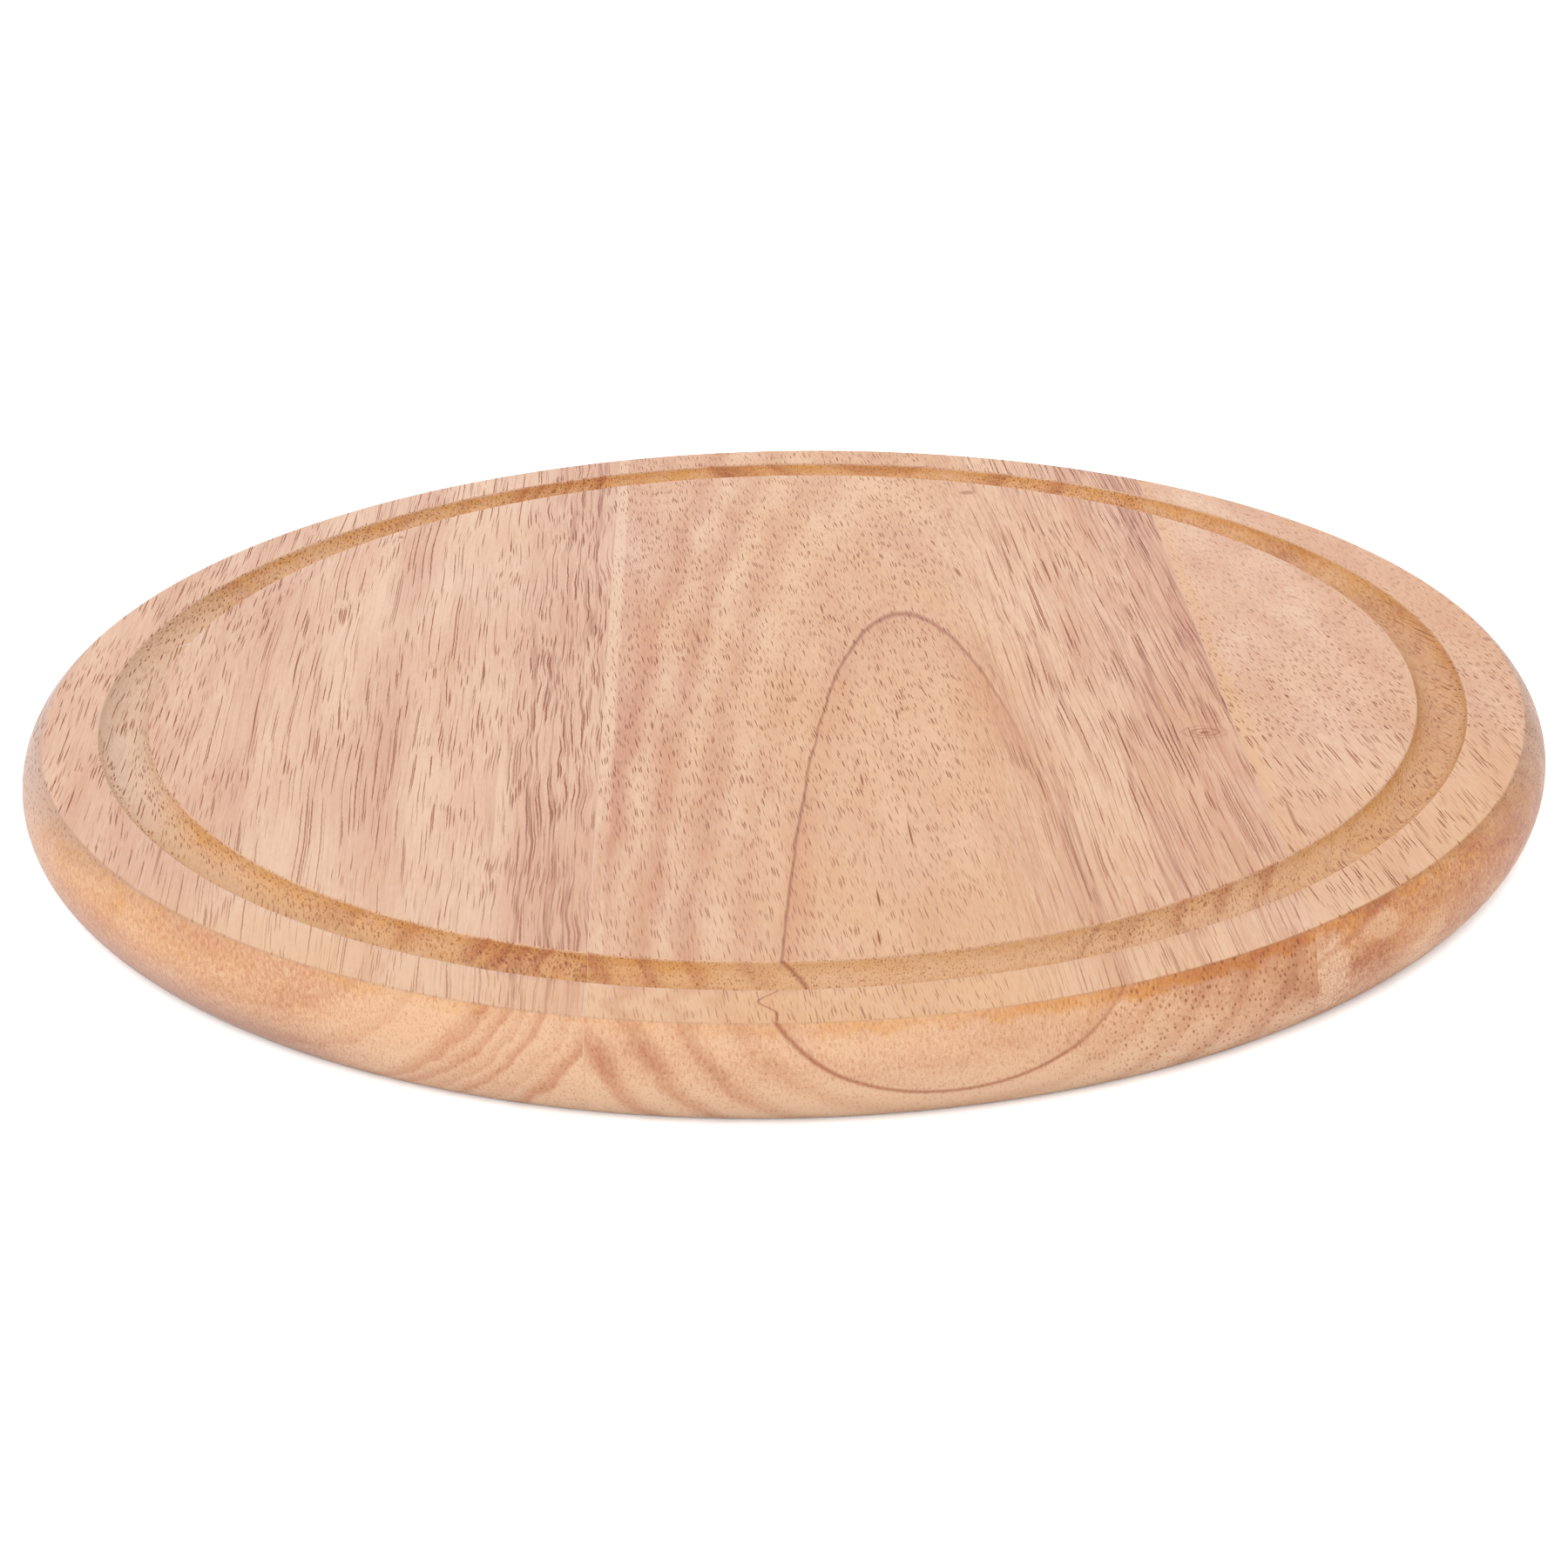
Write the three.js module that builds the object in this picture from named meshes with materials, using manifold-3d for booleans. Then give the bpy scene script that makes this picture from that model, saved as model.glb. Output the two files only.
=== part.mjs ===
// A round cutting board: three wooden staves glued edge to edge, with a juice groove in the top face.
// Lengths are in millimetres and angles in degrees. +Z is up, the grain runs along Y, and the origin is the
// middle of the underside.

import * as THREE from 'three';
import { mergeVertices } from 'three/addons/utils/BufferGeometryUtils.js';
import loadManifold from 'manifold-3d';

// The round blank
const boardDiameter = 300;
const boardThickness = 17;
const rimBulge = 4.5; // how far the rounded rim stands out past the edges of the flat faces

// The juice groove, cut by a round-nosed cutter
const grooveInset = 19.9; // from the widest line of the rim in to the middle of the groove
const grooveDepth = 3.5;
const grooveCutterRadius = 5;

// The two glued joints: how far each lies from the middle of the board, how far it is turned from the Y axis
// (anticlockwise from above), and the film of glue in it
const leftJointOffset = 35.4;
const leftJointSkew = 1.46;
const rightJointOffset = 86.2;
const rightJointSkew = -0.3;
const glueThickness = 0.2;

// Facets
const turnSegments = 96;
const halfArcSteps = 5; // on each half of the rim's arc and of the groove's arc

// Finishes
const woodRoughness = 0.55;
const glueRoughness = 0.45;
const pinkishWood = 0xe4bca2;
const peachWood = 0xe5b897;
const paleWood = 0xe3baa0;
const driedGlue = 0xf0d2ae;

const boardRadius = boardDiameter / 2;

const wasm = await loadManifold();
wasm.setup();

// Half of the blank's section: out along the underside, round the rim, and back across the top to the axis
function blankProfile() {
  const halfThickness = boardThickness / 2;
  const rimRadius = (rimBulge ** 2 + halfThickness ** 2) / (2 * rimBulge);
  const rimHalfAngle = Math.atan2(halfThickness, rimRadius - rimBulge);

  const grooveRadius = boardRadius - grooveInset;
  const grooveHalfAngle = Math.acos(Math.max(0, 1 - grooveDepth / grooveCutterRadius));
  const grooveHalfWidth = grooveCutterRadius * Math.sin(grooveHalfAngle);
  const cutterHeight = boardThickness - grooveDepth + grooveCutterRadius;
  const straightDown = -Math.PI / 2;

  const profile = new THREE.Path();
  profile.moveTo(0, 0);
  profile.lineTo(boardRadius - rimBulge, 0);
  profile.absarc(boardRadius - rimRadius, halfThickness, rimRadius, -rimHalfAngle, rimHalfAngle, false);
  profile.lineTo(grooveRadius + grooveHalfWidth, boardThickness);
  profile.absarc(
    grooveRadius,
    cutterHeight,
    grooveCutterRadius,
    straightDown + grooveHalfAngle,
    straightDown - grooveHalfAngle,
    true,
  );
  profile.lineTo(grooveRadius - grooveHalfWidth, boardThickness);
  profile.lineTo(0, boardThickness);
  return profile.getPoints(halfArcSteps);
}

// A closed solid from a geometry: shared corners become one, and triangles with no area are left out
function solidFrom(geometry) {
  geometry.deleteAttribute('normal');
  geometry.deleteAttribute('uv');
  const merged = mergeVertices(geometry);
  const corners = merged.index.array;
  const triangles = [];
  for (let first = 0; first < corners.length; first += 3) {
    const [a, b, c] = corners.slice(first, first + 3);
    if (a !== b && b !== c && c !== a) {
      triangles.push(a, b, c);
    }
  }
  const shell = new wasm.Mesh({
    numProp: 3,
    vertProperties: new Float32Array(merged.attributes.position.array),
    triVerts: new Uint32Array(triangles),
  });
  return new wasm.Manifold(shell);
}

function geometryFrom(solid) {
  const shell = solid.getMesh();
  const geometry = new THREE.BufferGeometry();
  geometry.setAttribute('position', new THREE.BufferAttribute(shell.vertProperties, 3));
  geometry.setIndex(new THREE.BufferAttribute(shell.triVerts, 1));
  geometry.computeVertexNormals();
  return geometry;
}

// The whole turned blank, with its axis stood up along Z
function turnedBlank() {
  const turned = new THREE.LatheGeometry(blankProfile(), turnSegments);
  turned.rotateX(Math.PI / 2);
  return solidFrom(turned);
}

// An upright plane that crosses the X axis at the given offset, as the X at which it lies for any Y
function uprightPlane(offset, skew) {
  const drift = Math.tan(THREE.MathUtils.degToRad(skew));
  return (y) => offset - drift * y;
}

// The planes on both sides of a film of glue
function glueFaces(offset, skew) {
  const halfWidth = glueThickness / 2 / Math.cos(THREE.MathUtils.degToRad(skew));
  return [uprightPlane(offset - halfWidth, skew), uprightPlane(offset + halfWidth, skew)];
}

// The block of space between two upright planes, a whole thickness clear of both faces of the blank
function slicer(leftPlane, rightPlane) {
  const outline = new THREE.Shape();
  outline.moveTo(leftPlane(-boardDiameter), -boardDiameter);
  outline.lineTo(rightPlane(-boardDiameter), -boardDiameter);
  outline.lineTo(rightPlane(boardDiameter), boardDiameter);
  outline.lineTo(leftPlane(boardDiameter), boardDiameter);
  outline.closePath();
  const block = new THREE.ExtrudeGeometry(outline, { depth: 3 * boardThickness, bevelEnabled: false });
  block.translate(0, 0, -boardThickness);
  return solidFrom(block);
}

const blank = turnedBlank();
const clearOnLeft = uprightPlane(-boardDiameter, 0);
const clearOnRight = uprightPlane(boardDiameter, 0);
const leftGlue = glueFaces(-leftJointOffset, leftJointSkew);
const rightGlue = glueFaces(rightJointOffset, rightJointSkew);

// Every piece is the slice of the blank between two planes, so its faces run on flush into its neighbours'
function slice(name, leftPlane, rightPlane, color, roughness) {
  const geometry = geometryFrom(blank.intersect(slicer(leftPlane, rightPlane)));
  const material = new THREE.MeshStandardMaterial({ color, roughness, metalness: 0 });
  const mesh = new THREE.Mesh(geometry, material);
  mesh.name = name;
  return mesh;
}

const board = new THREE.Group();
board.name = 'round_cutting_board';
board.add(
  slice('left_stave', clearOnLeft, leftGlue[0], pinkishWood, woodRoughness),
  slice('left_glue_line', leftGlue[0], leftGlue[1], driedGlue, glueRoughness),
  slice('centre_stave', leftGlue[1], rightGlue[0], peachWood, woodRoughness),
  slice('right_glue_line', rightGlue[0], rightGlue[1], driedGlue, glueRoughness),
  slice('right_stave', rightGlue[1], clearOnRight, paleWood, woodRoughness),
);

export default board;
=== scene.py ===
import math

import bmesh
import bpy
from mathutils import Matrix, Vector


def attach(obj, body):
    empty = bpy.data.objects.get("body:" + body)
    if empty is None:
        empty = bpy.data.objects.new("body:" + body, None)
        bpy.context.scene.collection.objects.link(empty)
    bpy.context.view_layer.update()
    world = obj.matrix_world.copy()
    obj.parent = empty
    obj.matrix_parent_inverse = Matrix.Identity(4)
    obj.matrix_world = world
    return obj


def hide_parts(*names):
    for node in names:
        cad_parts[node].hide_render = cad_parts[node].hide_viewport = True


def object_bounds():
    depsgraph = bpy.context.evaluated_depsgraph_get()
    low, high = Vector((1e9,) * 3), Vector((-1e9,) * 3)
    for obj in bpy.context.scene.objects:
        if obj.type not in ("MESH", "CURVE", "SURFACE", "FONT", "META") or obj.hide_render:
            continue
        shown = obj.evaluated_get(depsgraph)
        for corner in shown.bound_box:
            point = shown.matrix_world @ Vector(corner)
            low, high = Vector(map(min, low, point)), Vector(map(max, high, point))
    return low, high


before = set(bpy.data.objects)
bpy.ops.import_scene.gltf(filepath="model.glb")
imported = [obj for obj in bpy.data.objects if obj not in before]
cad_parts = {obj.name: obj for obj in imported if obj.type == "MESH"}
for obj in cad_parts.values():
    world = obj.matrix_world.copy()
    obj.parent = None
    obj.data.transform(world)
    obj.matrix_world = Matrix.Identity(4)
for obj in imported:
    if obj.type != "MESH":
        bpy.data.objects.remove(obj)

cad_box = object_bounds()

# The board's own sizes, in metres. Diameter and thickness come from the frame, the rest is as in the CAD
# source.
BOARD_RADIUS = (cad_box[1].x - cad_box[0].x) / 2
BOARD_THICKNESS = cad_box[1].z - cad_box[0].z
RIM_BULGE = 0.0045
GROOVE_INSET = 0.0199
GROOVE_DEPTH = 0.0035
GROOVE_CUTTER_RADIUS = 0.005
GLUE_THICKNESS = 0.0002
LEFT_JOINT = {"offset": -0.0354, "skew": math.radians(1.46)}
RIGHT_JOINT = {"offset": 0.0862, "skew": math.radians(-0.3)}

# How far the sanded edges are eased, in metres
RIM_EDGE_EASE = 0.0005
GROOVE_LIP_EASE = 0.0003

# Fineness of the turned mesh
TURN_SEGMENTS = 480
RIM_STEPS = 28
GROOVE_STEPS = 20
EASE_STEPS = 4
SHARP_EDGE_ANGLE = math.radians(40)

# The camera, in metres and degrees
CAMERA_DISTANCE = 0.54967
CAMERA_ELEVATION = 21.96
CAMERA_AIM_BELOW_CENTRE = 2.45
CAMERA_ROLL = -1.18
CAMERA_LENS = 62.43
SENSOR_WIDTH = 36.0

# The studio light
AMBIENT_LIGHT = 2.0
KEY_LIGHT = 1.7
KEY_LIGHT_SPREAD = 80.0
KEY_LIGHT_HEADING = (0.5, 0.6, -0.95)

# The light that the top face gets, the sheen that it adds to a colour, and how shiny the wood is
LIGHT_ON_TOP = 2.5
SHEEN_ON_TOP = 0.06
SURFACE_SHINE = 0.3

# Rings of the board that its wood changes at, in millimetres from the axis
MILLIMETRES = 1000.0
RIM_START = (BOARD_RADIUS - RIM_BULGE) * MILLIMETRES
GROOVE_MIDDLE = (BOARD_RADIUS - GROOVE_INSET) * MILLIMETRES
GROOVE_HALF_WIDTH = math.sqrt(GROOVE_DEPTH * (2 * GROOVE_CUTTER_RADIUS - GROOVE_DEPTH)) * MILLIMETRES
LAND_START = GROOVE_MIDDLE + GROOVE_HALF_WIDTH
LAND_MIDDLE = (LAND_START + RIM_START) / 2


# Fields: values that vary over a surface, with ordinary arithmetic

class Field:
    """One output of a shader node. Adding, taking away, multiplying and dividing make further nodes."""

    def __init__(self, socket):
        self.socket = socket

    def __add__(self, other):
        return formula("ADD", self, other)

    def __radd__(self, other):
        return formula("ADD", other, self)

    def __sub__(self, other):
        return formula("SUBTRACT", self, other)

    def __rsub__(self, other):
        return formula("SUBTRACT", other, self)

    def __mul__(self, other):
        return formula("MULTIPLY", self, other)

    def __rmul__(self, other):
        return formula("MULTIPLY", other, self)

    def __truediv__(self, other):
        return formula("DIVIDE", self, other)


def feed(socket, value):
    """Links a field to a node's input, or sets the input to a plain value."""
    if isinstance(value, Field):
        socket.id_data.links.new(value.socket, socket)
    else:
        socket.default_value = value


def tree_of(*terms):
    return next(term.socket.id_data for term in terms if isinstance(term, Field))


def formula(operation, *terms):
    node = tree_of(*terms).nodes.new("ShaderNodeMath")
    node.operation = operation
    for socket, term in zip(node.inputs, terms):
        feed(socket, term)
    return Field(node.outputs[0])


def size_of(field):
    return formula("ABSOLUTE", field)


def larger(first, second):
    return formula("MAXIMUM", first, second)


def root(field):
    return formula("SQRT", field)


def hypotenuse(first, second):
    return root(first * first + second * second)


def rising(field, start, end):
    """0 before start, 1 after end, and an S-shaped climb between. With start above end it falls instead."""
    node = tree_of(field).nodes.new("ShaderNodeMapRange")
    node.interpolation_type = "SMOOTHSTEP"
    feed(node.inputs["Value"], field)
    feed(node.inputs["From Min"], start)
    feed(node.inputs["From Max"], end)
    return Field(node.outputs[0])


def ridge(field, middle, half_width):
    """1 at the middle, falling to 0 at half_width on both sides."""
    return rising(size_of(field - middle), half_width, 0.0)


def point(across, along, up):
    node = tree_of(across, along, up).nodes.new("ShaderNodeCombineXYZ")
    for socket, value in zip(node.inputs, (across, along, up)):
        feed(socket, value)
    return Field(node.outputs[0])


def noise(place, detail=2.0, roughness=0.5):
    """Smooth noise around 0, with features about one unit of place across."""
    node = tree_of(place).nodes.new("ShaderNodeTexNoise")
    feed(node.inputs["Vector"], place)
    node.inputs["Scale"].default_value = 1.0
    node.inputs["Detail"].default_value = detail
    node.inputs["Roughness"].default_value = roughness
    return Field(node.outputs[0]) - 0.5


def scattered(place):
    """Cells with one point each: the distance to the nearest point, and two random numbers of its cell."""
    tree = tree_of(place)
    cells = tree.nodes.new("ShaderNodeTexVoronoi")
    cells.voronoi_dimensions = "2D"
    cells.inputs["Scale"].default_value = 1.0
    feed(cells.inputs["Vector"], place)
    parts = tree.nodes.new("ShaderNodeSeparateColor")
    tree.links.new(cells.outputs["Color"], parts.inputs[0])
    return Field(cells.outputs["Distance"]), Field(parts.outputs[0]), Field(parts.outputs[1])


def profile(field, stops):
    """A value that follows the (position, value) stops, easing from each to the next."""
    first, last = stops[0][0], stops[-1][0]
    node = tree_of(field).nodes.new("ShaderNodeValToRGB")
    ramp = node.color_ramp
    ramp.interpolation = "EASE"
    while len(ramp.elements) < len(stops):
        ramp.elements.new(0.5)
    for element, (position, value) in zip(ramp.elements, stops):
        element.position = (position - first) / (last - first)
        element.color = (value, value, value, 1.0)
    feed(node.inputs[0], (field - first) / (last - first))
    return Field(node.outputs[0])


def mixed(share, first, second, blend="MIX"):
    node = tree_of(share, first, second).nodes.new("ShaderNodeMix")
    node.data_type = "RGBA"
    node.blend_type = blend
    feed(node.inputs[0], share)
    feed(node.inputs[6], first)
    feed(node.inputs[7], second)
    return Field(node.outputs[2])


def seen(red, green, blue):
    """The base colour that shows as a display colour of 0 to 255 a channel on the lit top face."""
    base = []
    for channel in (red, green, blue):
        share = channel / 255
        linear = share / 12.92 if share <= 0.04045 else ((share + 0.055) / 1.055) ** 2.4
        base.append((linear - SHEEN_ON_TOP) / LIGHT_ON_TOP)
    return (*base, 1.0)


# Wood colours
PALE = seen(241, 202, 172)
PINKISH = seen(213, 153, 126)
GOLDEN = seen(236, 183, 129)
END_PALE = seen(247, 204, 168)
END_ROSY = seen(214, 153, 121)
# Painted sheen and shade: the greyed colour that the rim's side grain shows at a grazing view.
SIDE_SHEEN_SHADE = seen(200, 170, 155)
CHIP = seen(246, 226, 212)
GLUE_PALE = seen(234, 199, 171)
GLUE_ROSY = seen(220, 174, 149)
RIGHT_GLUE = seen(214, 165, 138)

# Stains, as the share of each channel that they leave
LINE_STAIN = (0.60, 0.38, 0.30, 1.0)
PORE_STAIN = (0.43, 0.17, 0.05, 1.0)
DOT_STAIN = (0.58, 0.35, 0.18, 1.0)
GOLD_STAIN = (0.95, 0.72, 0.30, 1.0)
BROWN_STAIN = (0.74, 0.54, 0.40, 1.0)
GROWTH_STAIN = (0.76, 0.54, 0.42, 1.0)

# How golden or brown the groove and the rim are, going round the board: degrees from the right,
# anticlockwise from above, and an amount
GROOVE_GOLD = (
    (-180.0, 0.0), (-160.0, 0.0), (-144.0, 0.7), (-105.0, 0.9), (-88.0, 0.5), (-55.0, 0.45), (-40.0, 0.75),
    (0.0, 0.85), (20.0, 0.85), (100.0, 0.9), (150.0, 0.75), (168.0, 0.2), (180.0, 0.0),
)
RIM_EDGE_GOLD = (
    (-180.0, 0.0), (-165.0, 0.1), (-150.0, 0.5), (-120.0, 0.4), (-97.0, 0.3), (-80.0, 0.55), (-62.0, 1.05),
    (-50.0, 1.2), (-35.0, 0.9), (-15.0, 0.5), (0.0, 0.3), (90.0, 0.5), (165.0, 0.4), (180.0, 0.0),
)
RIM_GOLD = (
    (-180.0, 0.0), (-165.0, 0.1), (-150.0, 0.5), (-130.0, 0.4), (-112.0, 0.15), (-95.0, 0.1), (-60.0, 0.15),
    (-48.0, 0.7), (-25.0, 0.65), (-10.0, 0.35), (0.0, 0.1), (90.0, 0.25), (180.0, 0.0),
)
# The rim's brown, going round: partly the right stave's darker end grain, partly painted shade on the right
# side of the rim.
RIM_BROWN_AND_SHADE = (
    (-180.0, 0.0), (-75.0, 0.0), (-67.0, 0.08), (-61.0, 0.3), (-56.0, 0.45), (-53.0, 0.45), (-49.0, 0.8),
    (-41.0, 0.6), (-28.0, 0.55), (-10.0, 0.45), (0.0, 0.35), (90.0, 0.1), (180.0, 0.0),
)
WALL_BROWN = (
    (-180.0, 0.0), (-50.0, 0.0), (-30.0, 0.2), (-8.0, 0.45), (8.0, 0.6), (25.0, 0.55), (45.0, 0.35),
    (80.0, 0.25), (110.0, 0.2), (150.0, 0.1), (180.0, 0.0),
)
LIP_BROWN = (
    (-180.0, 0.0), (-150.0, 0.3), (-120.0, 0.5), (-100.0, 0.4), (-85.0, 0.0), (-45.0, 0.3), (0.0, 0.4),
    (180.0, 0.0),
)

# Places where the groove's cutter has browned the wood: across, along and size in millimetres
SCORCHED_PLACES = (
    (-74.0, -99.0, 8.0), (-61.0, -107.0, 7.0), (-46.0, -115.0, 12.0), (52.0, -111.0, 6.0),
    (111.0, -60.0, 9.0), (-118.0, 58.0, 16.0), (-9.0, 132.0, 9.0), (52.0, 119.0, 7.0), (66.0, 112.0, 6.0),
    (84.0, 104.0, 8.0), (112.0, 72.0, 14.0),
)

# Single dark vessels inside the ring: across, along and half length in millimetres
DARK_DASHES = (
    (22.1, -25.4, 4.0), (22.0, -79.0, 8.0), (15.4, -104.0, 5.0), (14.9, -118.0, 4.0), (14.3, -55.7, 4.0),
    (8.8, 33.0, 4.0),
)
DARK_DASH_HALF_WIDTH = 0.28
DARK_DASH_LEAN = 0.05

# Single marks in millimetres: across, along, half width and half length, with a lean where they have one
LEFT_PIN_KNOT = (-87.0, 85.0, 0.9, 1.2)
LEFT_CHIP = (-125.5, 28.9, 0.9, 2.2, -1.3)
BACK_KNOT = (45.0, 109.0, 2.4, 2.2)
DARK_STREAK = (39.2, 54.0, 0.7, 4.5, 0.15)
RINGED_KNOT = (80.0, -37.0, 3.8, 2.6)
LONG_DASH = (89.7, -75.0, 0.5, 11.0)

# Pale patches on the rim in millimetres: across, along, height from the top, half width and half height
PATCH_BY_LEFT_JOINT = (-39.0, -143.0, -5.0, 12.0, 5.0)
PATCH_BY_RIGHT_JOINT = (88.0, -120.0, -6.0, 4.2, 7.0)
SECOND_RIGHT_PATCH = (98.0, -111.0, -3.2, 5.5, 2.0)

# The growth rings, in millimetres: the axis of those in the left stave, and the dark one in the centre
# stave, which comes up to the top face at its tip and sinks towards the front
LEFT_RINGS_ACROSS = -105.7
LEFT_RINGS_UP = 45.7
DARK_RING_ACROSS = 25.6
DARK_RING_TIP = 31.3
DARK_RING_RADIUS = 39.2


class Wood:
    """A wood material in the making: its shader, and where a point of the surface lies, in millimetres."""

    def __init__(self, name):
        self.material = bpy.data.materials.new(name)
        self.material.use_nodes = True
        self.tree = self.material.node_tree
        self.shader = self.tree.nodes["Principled BSDF"]
        where = self.tree.nodes.new("ShaderNodeTexCoord")
        self.x, self.y, z = self.split(where.outputs["Object"], MILLIMETRES)
        self.height = z - BOARD_THICKNESS * MILLIMETRES
        self.radius = hypotenuse(self.x, self.y)
        self.turn = formula("ARCTAN2", self.y, self.x) * math.degrees(1.0)
        facing = self.split(where.outputs["Normal"], 1.0)
        self.end_grain = rising(size_of(facing[1]), 0.08, 0.5)
        self.side_grain = rising(size_of(facing[1]), 0.55, 0.15)
        self.upper = rising(self.height, -9.0, -7.0)
        self.rim = rising(self.radius, RIM_START - 0.3, RIM_START + 0.2)
        inside_rim = rising(self.radius, LAND_MIDDLE, LAND_MIDDLE - 1.0)
        self.groove = rising(self.height, -0.1, -0.5) * inside_rim * self.upper

    def split(self, socket, scale):
        parts = self.tree.nodes.new("ShaderNodeSeparateXYZ")
        self.tree.links.new(socket, parts.inputs[0])
        return [Field(output) * scale for output in parts.outputs]

    def wander(self, amount, width, length):
        """How far the grain strays sideways, in millimetres."""
        return noise(point(self.x / width, self.y / length, self.height / width), detail=1.0) * amount

    def spot(self, x, y, half_width, half_length, lean=0.0):
        """1 in the middle of an oval mark in the upper half of the board, 0 outside it."""
        along = self.y - y
        across = self.x - x + along * lean
        return rising(hypotenuse(across / half_width, along / half_length), 1.0, 0.3) * self.upper

    def patch(self, x, y, height, half_width, half_height):
        """1 inside a patch on the rim with a ragged border, 0 outside it."""
        along = hypotenuse(self.x - x, self.y - y) / half_width
        up = (self.height - height) / half_height
        ragged = noise(point(self.x * 0.5, self.y * 0.5, self.height * 0.5), detail=3.0)
        return rising(hypotenuse(along, up) + ragged, 1.3, 0.6)


def pores(across, rise, spacing, radius, share):
    """Vessels seen where the surface cuts them: dashes along the grain, dots on end grain. Dark to 1."""
    distance, luck, depth = scattered(point(across / spacing, rise / spacing, 0.0))
    reach = radius / spacing * (0.6 + 0.6 * depth)
    there = rising(luck, share + 0.03, share - 0.03)
    return rising(distance, reach, reach * 0.5) * there * (0.4 + 0.6 * depth)


def vessels(wood, across, rise, spacing, radius, crowding, fineness):
    """Three sizes of pores together."""
    share = 0.78 + noise(point(across * 0.15, wood.y * 0.012, rise * 0.3)) * crowding
    coarse = pores(across + wood.wander(0.3, 0.6, 2.0), rise, spacing, radius, share)
    fine = pores(across + 31.7, rise + 17.3, spacing * 0.8, radius * 0.65, 0.8)
    bold = pores(across + 11.3, rise + 7.9, spacing * 4.0, radius * 1.2, 0.6)
    return larger(larger(coarse, bold), fine * fineness)


def end_dots(wood, across, rise):
    """Soft broad dots where the rim and the groove cut vessels across the grain."""
    distance, luck, depth = scattered(point(across / 0.9 + rise * 0.2, rise / 1.25, 0.0))
    dot = rising(distance, 0.2 + 0.18 * depth, 0.08) * rising(luck, 0.85, 0.8) * (0.4 + 0.6 * depth)
    return dot * wood.end_grain * larger(wood.rim, wood.groove)


def veins(wood, across):
    """Long thin dark lines along the grain."""
    level = noise(point(across * 0.3, wood.y * 0.004, wood.height * 0.1), detail=2.0)
    return rising(size_of(level), 0.03, 0.004) * (1.0 - wood.end_grain)


def small_knot(wood, x, y, half_width, half_length):
    """Fine rings around a pin knot."""
    strayed = wood.wander(2.0, 2.0, 2.0)
    away = hypotenuse((wood.x - x + strayed) / half_width, (wood.y - y + strayed) / half_length)
    rings = larger(ridge(away, 0.1, 0.3), ridge(away, 0.65, 0.22) * 0.7)
    return larger(rings, ridge(away, 1.1, 0.2) * 0.35) * wood.upper * 0.8


def gold(wood):
    """How golden the wood is made under the rim's edge and in the groove."""
    cloud = noise(point(wood.x * 0.12, wood.y * 0.12, wood.height * 0.3), detail=5.0, roughness=0.65)
    waver = wood.wander(3.0, 4.0, 4.0)
    band = rising(wood.height + waver, -2.3, -0.8) * profile(wood.turn, RIM_EDGE_GOLD) * (1.0 + cloud * 3.0)
    wash = rising(wood.height + waver, -13.0, -2.0) * profile(wood.turn, RIM_GOLD) * (1.0 + cloud * 3.0)
    lips = 0.75 + 0.35 * rising(wood.height + waver, -2.4, -1.0)
    in_groove = wood.groove * profile(wood.turn, GROOVE_GOLD) * (1.0 + cloud * 2.0) * lips
    return larger(larger(band, wash) * wood.rim, in_groove)


def brown(wood):
    """How far the wood is browned: scorched places in the groove, and dark end grain on the rim, partly
    painted shade on its right.
    """
    cloud = noise(point(wood.x * 0.1, wood.y * 0.1, wood.height * 0.2), detail=4.0, roughness=0.6)
    inner_half = rising(wood.radius, GROOVE_MIDDLE + 0.9, GROOVE_MIDDLE - 1.1)
    inner_lip = rising(wood.height + cloud * 4.0, -1.5, -0.6) * inner_half
    outer_wall = rising(wood.radius + cloud * 10.0, GROOVE_MIDDLE - 3.1, GROOVE_MIDDLE + 0.9)
    scorched = inner_lip * profile(wood.turn, LIP_BROWN)
    scorched = larger(scorched, outer_wall * profile(wood.turn, WALL_BROWN)) * (0.36 + cloud * 2.5)
    for x, y, size in SCORCHED_PLACES:
        scorched = larger(scorched, wood.spot(x, y, size, size) * (0.42 + cloud * 2.0))
    scorched = scorched * wood.groove
    edge = rising(wood.height, -2.1, -0.8) * ridge(wood.turn, -62.0, 16.0) * 0.4
    on_rim = wood.rim * (profile(wood.turn, RIM_BROWN_AND_SHADE) + edge + cloud * 2.5 * rising(wood.x, 30.0, 90.0))
    return larger(scorched, on_rim)


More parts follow.
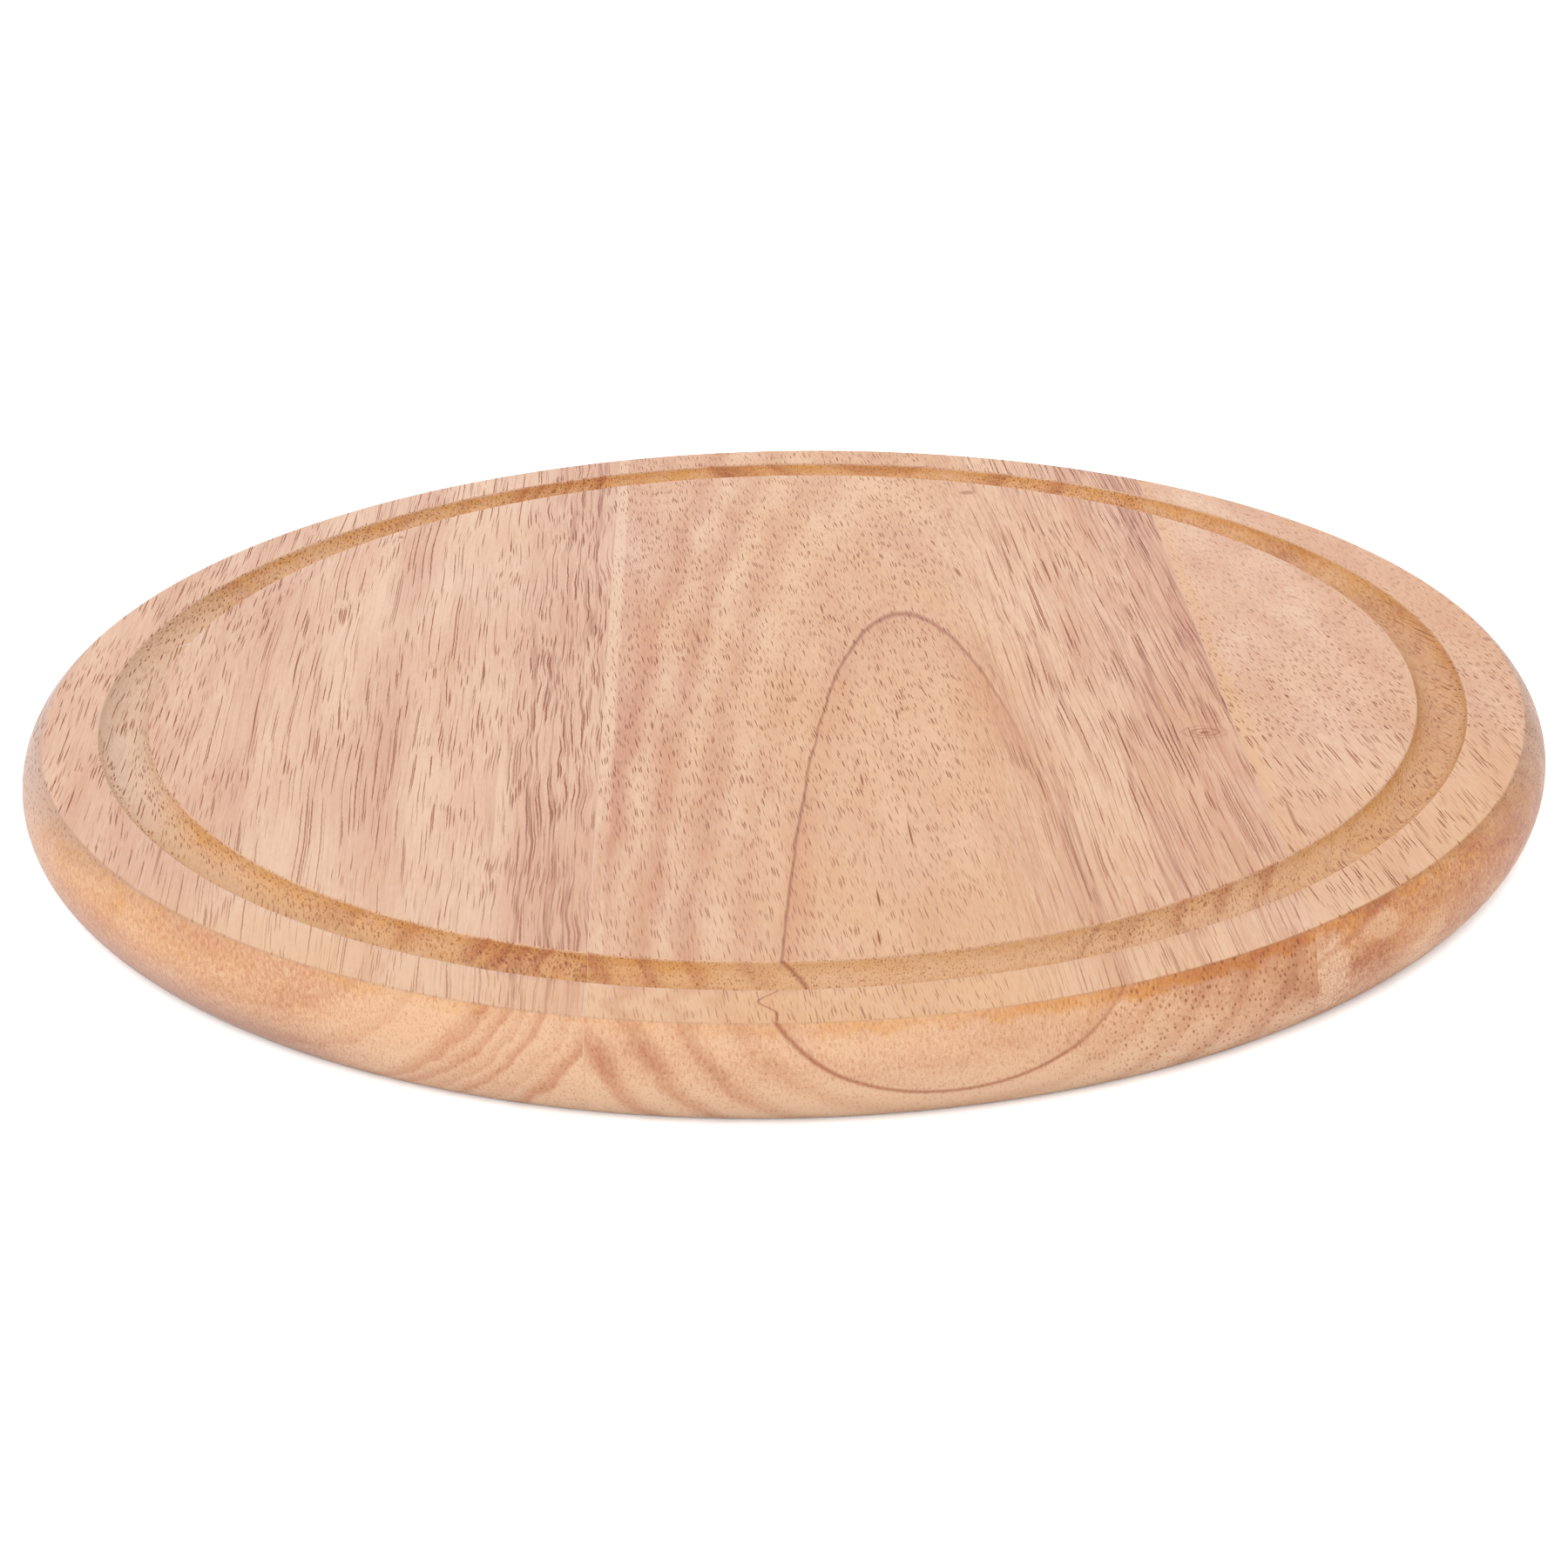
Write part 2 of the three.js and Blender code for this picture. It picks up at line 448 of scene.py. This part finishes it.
def finish_wood(wood, *, across, rise, tone, dark, golden=0.0, lines=0.0, growth=0.0, streaks=0.5,
                blotches=1.0, speckle=1.6, bleached=0.0, chip=0.0, foot=0.0, sheen_shade_down_rim=0.0, dots=0.3):
    """Puts the colour of a stave together and finishes its surface.

    Tone runs from 0 (pale) to 1 (pinkish), and golden yellows it. Dark is the cut vessels, lines the thin
    dark lines, growth and dots the rings and vessels on end grain. Streaks, blotches and speckle say how
    uneven the colour is. Bleached and chip are pale places. Foot shifts the tone down the rim: a negative
    foot is painted light that pales the lower rim against its contact shade, a positive one makes it rosier
    and darker. The last amount mixes the lower rim towards the painted grazing sheen and shade.
    """
    fibre = noise(point(across * 3.0, wood.y * 0.07, rise * 3.0), detail=4.0, roughness=0.6)
    streak = noise(point(across * 0.9, wood.y * 0.011, rise * 0.9), detail=3.0, roughness=0.6)
    band = noise(point(across * 0.14, wood.y * 0.012, rise * 0.3), detail=1.0)
    blotch = noise(point(wood.x * 0.035, wood.y * 0.02, wood.height * 0.12), detail=2.0)
    fleck = noise(point(wood.x * 1.1, wood.y * 0.4, wood.height * 1.1), detail=2.0)
    stipple = noise(point(across * 2.4, wood.y * 0.5, wood.height * 1.3), detail=3.0, roughness=0.65)

    land = rising(wood.radius, LAND_START, LAND_START + 2.0) * (1.0 - wood.end_grain)
    front_land = land * rising(wood.y, -85.0, -115.0)
    # Painted light: the groove is made paler to cancel the shade that falls in it.
    face_shade = tone - wood.groove * 0.45 - front_land * 0.2
    face_shade = face_shade + fibre * 0.65 + streak * streaks + band + blotch * 0.4 + fleck * 0.4
    face = mixed(face_shade, PALE, PINKISH)
    golden = golden + fleck * 0.5 + blotch * 0.7 + front_land * rising(wood.x, 60.0, 0.0) * 0.25
    face = mixed(golden, face, GOLDEN)
    lower_rim = rising(wood.height, -5.0, -15.0)
    # A negative foot amount is painted light: it pales the lower rim, against the shade where it meets the
    # floor.
    end_shade = tone * 0.5 + 0.05 + blotch * blotches + stipple * speckle + lower_rim * foot
    # Painted light: paler end grain in the groove, to cancel its shade.
    end_shade = end_shade - bleached * 0.3 - wood.groove * 0.4
    end = mixed(end_shade, END_PALE, END_ROSY)
    ground = mixed(wood.end_grain, face, end)
    # Painted sheen and shade: the rim's side grain, and the lower rim by the given amount, are mixed
    # towards a greyed grazing-sheen colour.
    ground = mixed(wood.rim * larger(wood.side_grain * 0.8, lower_rim * sheen_shade_down_rim), ground, SIDE_SHEEN_SHADE)
    ground = mixed(gold(wood) * (1.0 - bleached), ground, GOLD_STAIN, "MULTIPLY")
    mottle = stipple * (wood.rim * speckle * 0.22 + wood.groove * 2.0)
    ground = mixed(brown(wood) * (1.0 - bleached) + mottle, ground, BROWN_STAIN, "MULTIPLY")
    # Painted highlight: a pale line along the groove's outer lip, where its eased edge would catch the
    # light.
    painted_lip_highlight = ridge(wood.radius, LAND_START, 0.3) * wood.upper
    ground = mixed(painted_lip_highlight * 0.6, ground, PALE)
    ground = mixed(growth * wood.end_grain * (1.0 + 0.4 * wood.groove), ground, GROWTH_STAIN, "MULTIPLY")
    ground = mixed(lines, ground, LINE_STAIN, "MULTIPLY")
    ground = mixed(end_dots(wood, across, rise) * dots, ground, DOT_STAIN, "MULTIPLY")
    dark = dark * (1.0 - 0.4 * front_land * ridge(wood.x, -30.0, 45.0))
    ground = mixed(dark, ground, PORE_STAIN, "MULTIPLY")
    ground = mixed(chip, ground, CHIP)
    sanded_surface(wood, ground, fibre, dark)
    return wood.material


def sanded_surface(wood, ground, fibre, dark):
    """Gives the shader its colour, its roughness and a fine bump of fibres and open vessels."""
    feed(wood.shader.inputs["Base Color"], ground)
    feed(wood.shader.inputs["Roughness"], 0.5 + fibre * 0.2 + dark * 0.2)
    wood.shader.inputs["Specular IOR Level"].default_value = SURFACE_SHINE
    bump = wood.tree.nodes.new("ShaderNodeBump")
    bump.inputs["Strength"].default_value = 0.4
    bump.inputs["Distance"].default_value = 0.0001
    feed(bump.inputs["Height"], fibre * 0.5 - dark)
    wood.tree.links.new(bump.outputs[0], wood.shader.inputs["Normal"])


def left_stave_wood():
    wood = Wood("left_stave_wood")
    near_joint = rising(wood.x, -85.0, -50.0)
    lean = 0.072 - 0.022 * near_joint
    bend = 0.0002 * wood.y * wood.y * (1.0 - near_joint)
    wiggle = wood.wander(1.8, 6.0, 16.0) * rising(wood.x, -65.0, -48.0)
    across = wood.x + lean * wood.y - bend + wood.wander(2.4, 14.0, 45.0) + wiggle
    tone = profile(across, [
        (-165.0, 0.35), (-120.0, 0.35), (-108.0, 0.45), (-99.0, 0.25), (-84.0, 0.25), (-78.0, 0.47),
        (-70.0, 0.2), (-55.0, 0.25), (-50.0, 0.4), (-44.0, 0.5), (-38.0, 0.48), (-34.0, 0.35),
    ])
    ring = hypotenuse(larger(across - LEFT_RINGS_ACROSS, 0.0), wood.height - LEFT_RINGS_UP)
    growth = profile(ring + wood.wander(2.0, 5.0, 10.0), [
        (50.0, 0.0), (53.2, 0.25), (53.9, 0.0), (57.0, 0.0), (60.0, 0.3), (60.7, 0.0), (66.0, 0.0),
        (69.1, 0.7), (69.8, 0.15), (71.8, 0.7), (72.5, 0.15), (74.3, 0.45), (74.9, 0.1), (76.7, 0.75),
        (77.4, 0.1), (80.0, 0.35), (80.6, 0.1), (83.2, 0.85), (84.2, 0.0),
    ])
    dive = profile(wood.x, [
        (-150.0, 0.032), (-118.0, 0.03), (-98.0, 0.014), (-72.0, 0.014), (-58.0, 0.024), (-34.0, 0.026),
    ])
    rise = wood.height + dive * wood.y + noise(point(wood.x / 9.0, wood.y / 60.0, 0.0)) * 1.8
    dark = vessels(wood, across, rise, spacing=0.5, radius=0.155, crowding=0.3, fineness=0.25)
    broad = vessels(wood, across + 5.3, rise + 2.1, spacing=0.7, radius=0.2, crowding=0.3, fineness=0.25)
    dark = larger(dark, broad * rising(wood.x, -56.0, -46.0))
    dark = dark * (1.0 - 0.6 * wood.end_grain * wood.rim) * (1.0 - 0.3 * rising(wood.y, -40.0, -100.0))
    dark = larger(dark, wood.spot(*LEFT_PIN_KNOT) * 0.7)
    lines = veins(wood, across) * rising(wood.x, -58.0, -48.0) * 0.6
    by_joint = rising(wood.x, -90.0, -60.0)
    tone = tone * (1.0 - wood.end_grain * by_joint) + wood.rim * (1.0 - by_joint) * 0.3
    return finish_wood(
        wood, across=across, rise=rise, tone=tone, dark=dark, lines=lines, growth=growth, speckle=2.2,
        bleached=wood.patch(*PATCH_BY_LEFT_JOINT) * 0.8, chip=wood.spot(*LEFT_CHIP),
        # Painted sheen and shade are mixed into the lower rim here too; the foot amount makes it rosier and
        # darker.
        foot=0.8 * (1.0 - by_joint), sheen_shade_down_rim=0.6 * (1.0 - by_joint), dots=0.3 + 0.6 * wood.groove,
    )


def centre_stave_wood():
    wood = Wood("centre_stave_wood")
    streaky = rising(wood.x, 30.0, 52.0)
    lean = 0.09 - 0.04 * streaky
    across = wood.x + lean * wood.y + wood.wander(2.0, 16.0, 50.0)
    from_tip = DARK_RING_TIP - wood.y
    sink = 0.088 * from_tip - 0.00013 * from_tip * from_tip
    hook = ridge(wood.y, -138.5, 4.0) * rising(wood.x, 12.0, 4.0) * 3.0
    from_middle = wood.x - DARK_RING_ACROSS + wood.wander(1.0, 8.0, 12.0) + hook
    ring = hypotenuse(from_middle, wood.height - DARK_RING_RADIUS + sink) - DARK_RING_RADIUS
    tone = profile(across, [
        (-45.0, 0.5), (-33.0, 0.5), (-26.0, 0.5), (-18.0, 0.4), (10.0, 0.38), (30.0, 0.34), (40.0, 0.42),
        (46.0, 0.26), (58.0, 0.28), (62.0, 0.46), (70.0, 0.42), (74.0, 0.66), (80.0, 0.5), (88.0, 0.85),
    ])
    golden = profile(wood.x, [
        (-40.0, 0.0), (-20.0, 0.25), (0.0, 0.4), (34.0, 0.4), (50.0, 0.25), (90.0, 0.1),
    ])
    inside = rising(ring, -3.5, -0.4) * rising(ring, 0.1, -0.2)
    layers = profile(ring + wood.wander(4.0, 9.0, 30.0), [
        (0.0, 0.42), (1.8, 0.25), (4.6, 0.37), (8.0, 0.15), (11.5, 0.5), (15.0, 0.15), (18.2, 0.5),
        (22.0, 0.15), (25.5, 0.55), (29.0, 0.3),
    ]) - 0.27
    tone = tone + inside * 0.4 + layers * 1.7 * (1.0 - streaky) * rising(ring, -0.2, 0.4)
    joint_drift = math.tan(LEFT_JOINT["skew"]) * wood.y
    from_joint = wood.x - LEFT_JOINT["offset"] * MILLIMETRES + joint_drift + wood.wander(1.5, 5.0, 20.0)
    tone = tone - rising(from_joint, 2.8, 1.8) * 0.6
    right_leg = rising(wood.x, 30.0, 38.0) * rising(wood.y, 0.0, -45.0) * (1.0 - wood.end_grain)
    right_leg_in_front = rising(wood.x, 40.0, 52.0) * rising(wood.y, -100.0, -115.0)
    leg_fade = (1.0 - 0.8 * right_leg) * (1.0 - 0.6 * right_leg_in_front)
    ring_width = 0.23 + 0.1 * rising(wood.y, -20.0, -80.0) + 0.3 * wood.end_grain
    lines = ridge(ring, -0.2, ring_width) * 0.95 * leg_fade
    lines = larger(lines, veins(wood, across) * streaky * (0.4 + 0.35 * rising(wood.x, 60.0, 84.0)))
    growth = profile(ring + wood.wander(2.5, 5.0, 20.0), [
        (1.5, 0.0), (4.6, 0.3), (6.2, 0.0), (8.5, 0.0), (11.5, 0.45), (13.0, 0.0), (15.0, 0.0),
        (18.2, 0.55), (19.8, 0.0), (22.0, 0.0), (25.5, 0.6), (27.2, 0.0),
    ])
    growth = growth * (1.0 - 0.4 * wood.rim * rising(wood.height, -5.0, 0.0))
    rise = wood.height + 0.068 * wood.y + noise(point(wood.x / 7.0, wood.y / 40.0, 0.0))
    long_rise = wood.height + 0.018 * wood.y + noise(point(wood.x / 7.0, wood.y / 60.0, 0.0)) * 1.5
    slanted = across + 0.04 * wood.y
    dashes = vessels(wood, slanted, rise, spacing=0.46, radius=0.13, crowding=0.6, fineness=0.45)
    long_dashes = vessels(wood, across, long_rise, spacing=0.58, radius=0.165, crowding=1.0, fineness=0.7)
    dark = larger(dashes * (1.0 - streaky), long_dashes * streaky)
    dark = dark * (1.0 - 0.6 * wood.end_grain * wood.rim) * (1.0 - 0.3 * rising(wood.y, -40.0, -100.0))
    marks = larger(wood.spot(*BACK_KNOT) * 0.6, wood.spot(*DARK_STREAK) * 0.8)
    marks = larger(marks, small_knot(wood, *RINGED_KNOT))
    for x, y, half_length in DARK_DASHES:
        marks = larger(marks, wood.spot(x, y, DARK_DASH_HALF_WIDTH, half_length, DARK_DASH_LEAN))
    return finish_wood(
        wood, across=across, rise=rise, tone=tone, dark=larger(dark, marks), golden=golden, lines=lines,
        # The negative foot amount paints the lower rim paler, as light against its contact shade.
        growth=growth, streaks=0.7 + 0.4 * streaky, blotches=1.2, foot=-0.45,
        dots=(0.35 + 0.75 * rising(wood.x, 30.0, 65.0)) * (1.0 - 0.3 * wood.groove),
    )


def right_stave_wood():
    wood = Wood("right_stave_wood")
    behind_front = larger(wood.y + 40.0, 0.0)
    across = wood.x + 0.09 * wood.y + wood.wander(1.6, 16.0, 50.0)
    tone = profile(across, [
        (75.0, 0.42), (90.0, 0.4), (95.0, 0.36), (104.0, 0.3), (110.0, 0.32), (115.0, 0.44),
        (122.0, 0.58), (165.0, 0.6),
    ])
    layers = wood.height - 0.12 * wood.x - 0.17 * wood.y
    broad_layers = noise(point(layers * 0.25, wood.radius * 0.05, 3.7), detail=2.0)
    growth = rising(broad_layers, 0.0, 0.12) * wood.rim * 0.6
    fine_layers = noise(point(layers * 4.5, wood.radius * 0.15, 0.0), detail=2.0)
    lines = rising(fine_layers, 0.04, 0.14) * wood.groove * 0.35
    bleached = larger(wood.patch(*PATCH_BY_RIGHT_JOINT), wood.patch(*SECOND_RIGHT_PATCH) * 0.6)
    golden = 0.1 + 0.4 * rising(wood.x, 91.0, 87.5) * rising(wood.y, -90.0, -40.0)
    # The share added past 105 mm across is painted shade: the right side made darker and more golden, as if
    # less lit.
    golden = golden + 0.25 * rising(wood.y, -20.0, -80.0) + 0.2 * rising(wood.x, 105.0, 130.0)
    rise = wood.height + 0.045 * wood.y + 0.1 * behind_front
    rise = rise + noise(point(wood.x / 7.0, wood.y / 40.0, 0.0)) * 1.2
    slanted = across + 0.05 * wood.y + 0.08 * behind_front
    dark = vessels(wood, slanted, rise, spacing=0.56, radius=0.155, crowding=0.5, fineness=0.45)
    dark = dark * (1.0 - 0.4 * rising(wood.y, -20.0, 60.0)) * (1.0 - 0.5 * wood.end_grain)
    dark = larger(dark, wood.spot(*LONG_DASH) * 0.6)
    return finish_wood(
        wood, across=across, rise=rise, tone=tone, dark=dark, golden=golden, lines=lines, growth=growth,
        # The negative foot amount paints the lower rim paler, as light against its contact shade.
        bleached=bleached, blotches=2.0, speckle=3.2, foot=-0.2, dots=0.35,
    )


def glue_material():
    wood = Wood("dried_glue")
    cloud = noise(point(wood.x * 0.5, wood.y * 0.25, wood.height * 0.5), detail=3.0)
    right_joint = rising(wood.x, 0.0, 20.0)
    face = mixed(0.5 + cloud, GLUE_PALE, GLUE_ROSY)
    face = mixed(right_joint * 0.8, face, RIGHT_GLUE)
    end = mixed(0.5 + cloud, END_PALE, END_ROSY)
    ground = mixed(gold(wood), mixed(wood.end_grain, face, end), GOLD_STAIN, "MULTIPLY")
    ground = mixed(right_joint * wood.rim * 0.9, ground, BROWN_STAIN, "MULTIPLY")
    feed(wood.shader.inputs["Base Color"], ground)
    feed(wood.shader.inputs["Roughness"], 0.45 + cloud * 0.2)
    return wood.material


# The turned blank

def arc(centre, radius, start, end, steps):
    """Points of an arc as (distance from the axis, height), both ends included."""
    angles = [start + (end - start) * step / steps for step in range(steps + 1)]
    return [(centre[0] + radius * math.cos(a), centre[1] + radius * math.sin(a)) for a in angles]


def eased(before, corner, after):
    """A corner rounded off between the points before and after it."""
    points = []
    for step in range(1, EASE_STEPS):
        t = step / EASE_STEPS
        weights = ((1 - t) ** 2, 2 * t * (1 - t), t ** 2)
        points.append(tuple(
            sum(weight * place[axis] for weight, place in zip(weights, (before, corner, after)))
            for axis in range(2)
        ))
    return points


def blank_profile():
    """Half of the section, from the middle of the underside round the rim to the middle of the top."""
    half_thickness = BOARD_THICKNESS / 2
    rim_radius = (RIM_BULGE ** 2 + half_thickness ** 2) / (2 * RIM_BULGE)
    rim_centre = (BOARD_RADIUS - rim_radius, half_thickness)
    rim_half_angle = math.atan2(half_thickness, rim_radius - RIM_BULGE)
    rim_end = rim_half_angle - RIM_EDGE_EASE / rim_radius
    face_edge = BOARD_RADIUS - RIM_BULGE

    groove_middle = BOARD_RADIUS - GROOVE_INSET
    groove_centre = (groove_middle, BOARD_THICKNESS - GROOVE_DEPTH + GROOVE_CUTTER_RADIUS)
    groove_half_angle = math.acos(1 - GROOVE_DEPTH / GROOVE_CUTTER_RADIUS)
    groove_half_width = GROOVE_CUTTER_RADIUS * math.sin(groove_half_angle)
    groove_end = groove_half_angle - GROOVE_LIP_EASE / GROOVE_CUTTER_RADIUS
    down = -math.pi / 2
    outer_lip = groove_middle + groove_half_width
    inner_lip = groove_middle - groove_half_width

    rim = arc(rim_centre, rim_radius, -rim_end, rim_end, RIM_STEPS)
    groove = arc(groove_centre, GROOVE_CUTTER_RADIUS, down + groove_end, down - groove_end, GROOVE_STEPS)
    below = [(face_edge * share, 0.0) for share in (0.0, 0.5, 0.9)]
    below += [(face_edge - 3 * RIM_EDGE_EASE, 0.0), (face_edge - RIM_EDGE_EASE, 0.0)]
    land = [
        (face_edge - RIM_EDGE_EASE, BOARD_THICKNESS),
        (face_edge - 3 * RIM_EDGE_EASE, BOARD_THICKNESS),
        (outer_lip + 3 * GROOVE_LIP_EASE, BOARD_THICKNESS),
        (outer_lip + GROOVE_LIP_EASE, BOARD_THICKNESS),
    ]
    top = [
        (inner_lip - GROOVE_LIP_EASE, BOARD_THICKNESS),
        (inner_lip - 3 * GROOVE_LIP_EASE, BOARD_THICKNESS),
    ]
    top += [(inner_lip * share, BOARD_THICKNESS) for share in (0.9, 0.5, 0.0)]
    return [
        *below, *eased(below[-1], (face_edge, 0.0), rim[0]),
        *rim, *eased(rim[-1], (face_edge, BOARD_THICKNESS), land[0]),
        *land, *eased(land[-1], (outer_lip, BOARD_THICKNESS), groove[0]),
        *groove, *eased(groove[-1], (inner_lip, BOARD_THICKNESS), top[0]),
        *top,
    ]


def turned_blank():
    """The whole board in one piece, turned from its profile."""
    blank = bmesh.new()
    turns = [2 * math.pi * segment / TURN_SEGMENTS for segment in range(TURN_SEGMENTS)]
    rings = []
    for distance, height in blank_profile():
        if distance == 0.0:
            rings.append([blank.verts.new((0.0, 0.0, height))] * TURN_SEGMENTS)
            continue
        places = [(distance * math.cos(turn), distance * math.sin(turn), height) for turn in turns]
        rings.append([blank.verts.new(place) for place in places])
    for inner, outer in zip(rings, rings[1:]):
        for segment in range(TURN_SEGMENTS):
            after = (segment + 1) % TURN_SEGMENTS
            corners = (inner[segment], inner[after], outer[after], outer[segment])
            blank.faces.new(list(dict.fromkeys(corners)))
    bmesh.ops.recalc_face_normals(blank, faces=blank.faces)
    return blank


def cut_away(solid, joint, shift, side):
    """Cuts the solid at a joint's plane, moved across by shift, and keeps one side: -1 left, 1 right."""
    across = Vector((math.cos(joint["skew"]), math.sin(joint["skew"]), 0.0))
    place = Vector((joint["offset"], 0.0, 0.0)) + across * shift
    everything = [*solid.verts, *solid.edges, *solid.faces]
    bmesh.ops.bisect_plane(
        solid, geom=everything, plane_co=place, plane_no=across * -side, clear_outer=True,
    )
    open_edges = [edge for edge in solid.edges if edge.is_boundary]
    filled = bmesh.ops.holes_fill(solid, edges=open_edges, sides=0)
    bmesh.ops.triangulate(solid, faces=filled["faces"], ngon_method="EAR_CLIP")


def board_piece(name, blank, cuts, material):
    """A slice of the blank, in the place of the CAD node of the same name."""
    solid = blank.copy()
    for joint, shift, side in cuts:
        cut_away(solid, joint, shift, side)
    bmesh.ops.recalc_face_normals(solid, faces=solid.faces)
    mesh = bpy.data.meshes.new(name + "_finished")
    solid.to_mesh(mesh)
    solid.free()
    mesh.shade_smooth()
    mesh.set_sharp_from_angle(angle=SHARP_EDGE_ANGLE)
    mesh.materials.append(material)
    piece = bpy.data.objects.new(name + "_finished", mesh)
    bpy.context.scene.collection.objects.link(piece)
    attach(piece, "root")
    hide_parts(name)
    return piece


def make_board():
    blank = turned_blank()
    half_glue = GLUE_THICKNESS / 2
    left, right = -1, 1
    glue = glue_material()
    left_cuts = [(LEFT_JOINT, -half_glue, left)]
    left_glue_cuts = [(LEFT_JOINT, -half_glue, right), (LEFT_JOINT, half_glue, left)]
    centre_cuts = [(LEFT_JOINT, half_glue, right), (RIGHT_JOINT, -half_glue, left)]
    right_glue_cuts = [(RIGHT_JOINT, -half_glue, right), (RIGHT_JOINT, half_glue, left)]
    right_cuts = [(RIGHT_JOINT, half_glue, right)]
    board_piece("left_stave", blank, left_cuts, left_stave_wood())
    board_piece("left_glue_line", blank, left_glue_cuts, glue)
    board_piece("centre_stave", blank, centre_cuts, centre_stave_wood())
    board_piece("right_glue_line", blank, right_glue_cuts, glue)
    board_piece("right_stave", blank, right_cuts, right_stave_wood())
    blank.free()


# The studio

def make_floor():
    floor_size = 8.0
    mesh = bpy.data.meshes.new("studio_floor")
    half = floor_size / 2
    corners = [(-half, -half, 0.0), (half, -half, 0.0), (half, half, 0.0), (-half, half, 0.0)]
    mesh.from_pydata(corners, [], [(0, 1, 2, 3)])
    material = bpy.data.materials.new("white_sweep")
    material.use_nodes = True
    shader = material.node_tree.nodes["Principled BSDF"]
    shader.inputs["Base Color"].default_value = (0.96, 0.96, 0.96, 1.0)
    shader.inputs["Roughness"].default_value = 0.9
    shader.inputs["Specular IOR Level"].default_value = 0.0
    mesh.materials.append(material)
    floor = bpy.data.objects.new("studio_floor", mesh)
    bpy.context.scene.collection.objects.link(floor)


def make_light():
    world = bpy.data.worlds.new("white_studio")
    bpy.context.scene.world = world
    world.use_nodes = True
    background = world.node_tree.nodes["Background"]
    background.inputs["Color"].default_value = (1.0, 1.0, 1.0, 1.0)
    background.inputs["Strength"].default_value = AMBIENT_LIGHT
    lamp = bpy.data.lights.new("key_softbox", "SUN")
    lamp.energy = KEY_LIGHT
    lamp.angle = math.radians(KEY_LIGHT_SPREAD)
    softbox = bpy.data.objects.new("key_softbox", lamp)
    softbox.rotation_mode = "QUATERNION"
    softbox.rotation_quaternion = Vector(KEY_LIGHT_HEADING).to_track_quat("-Z", "Y")
    bpy.context.scene.collection.objects.link(softbox)


def make_camera():
    lens = bpy.data.cameras.new("photo_camera")
    lens.sensor_width = SENSOR_WIDTH
    lens.lens = CAMERA_LENS
    lens.clip_start = 0.01
    camera = bpy.data.objects.new("photo_camera", lens)
    elevation = math.radians(CAMERA_ELEVATION)
    tilt = elevation + math.radians(CAMERA_AIM_BELOW_CENTRE)
    place = Vector((0.0, -math.cos(elevation), math.sin(elevation))) * CAMERA_DISTANCE
    place.z += BOARD_THICKNESS
    turn = Matrix.Rotation(math.pi / 2 - tilt, 4, "X") @ Matrix.Rotation(math.radians(CAMERA_ROLL), 4, "Z")
    camera.matrix_world = Matrix.Translation(place) @ turn
    bpy.context.scene.collection.objects.link(camera)
    bpy.context.scene.camera = camera


make_camera()
make_light()
make_floor()
make_board()
bpy.context.scene.view_settings.view_transform = "Standard"
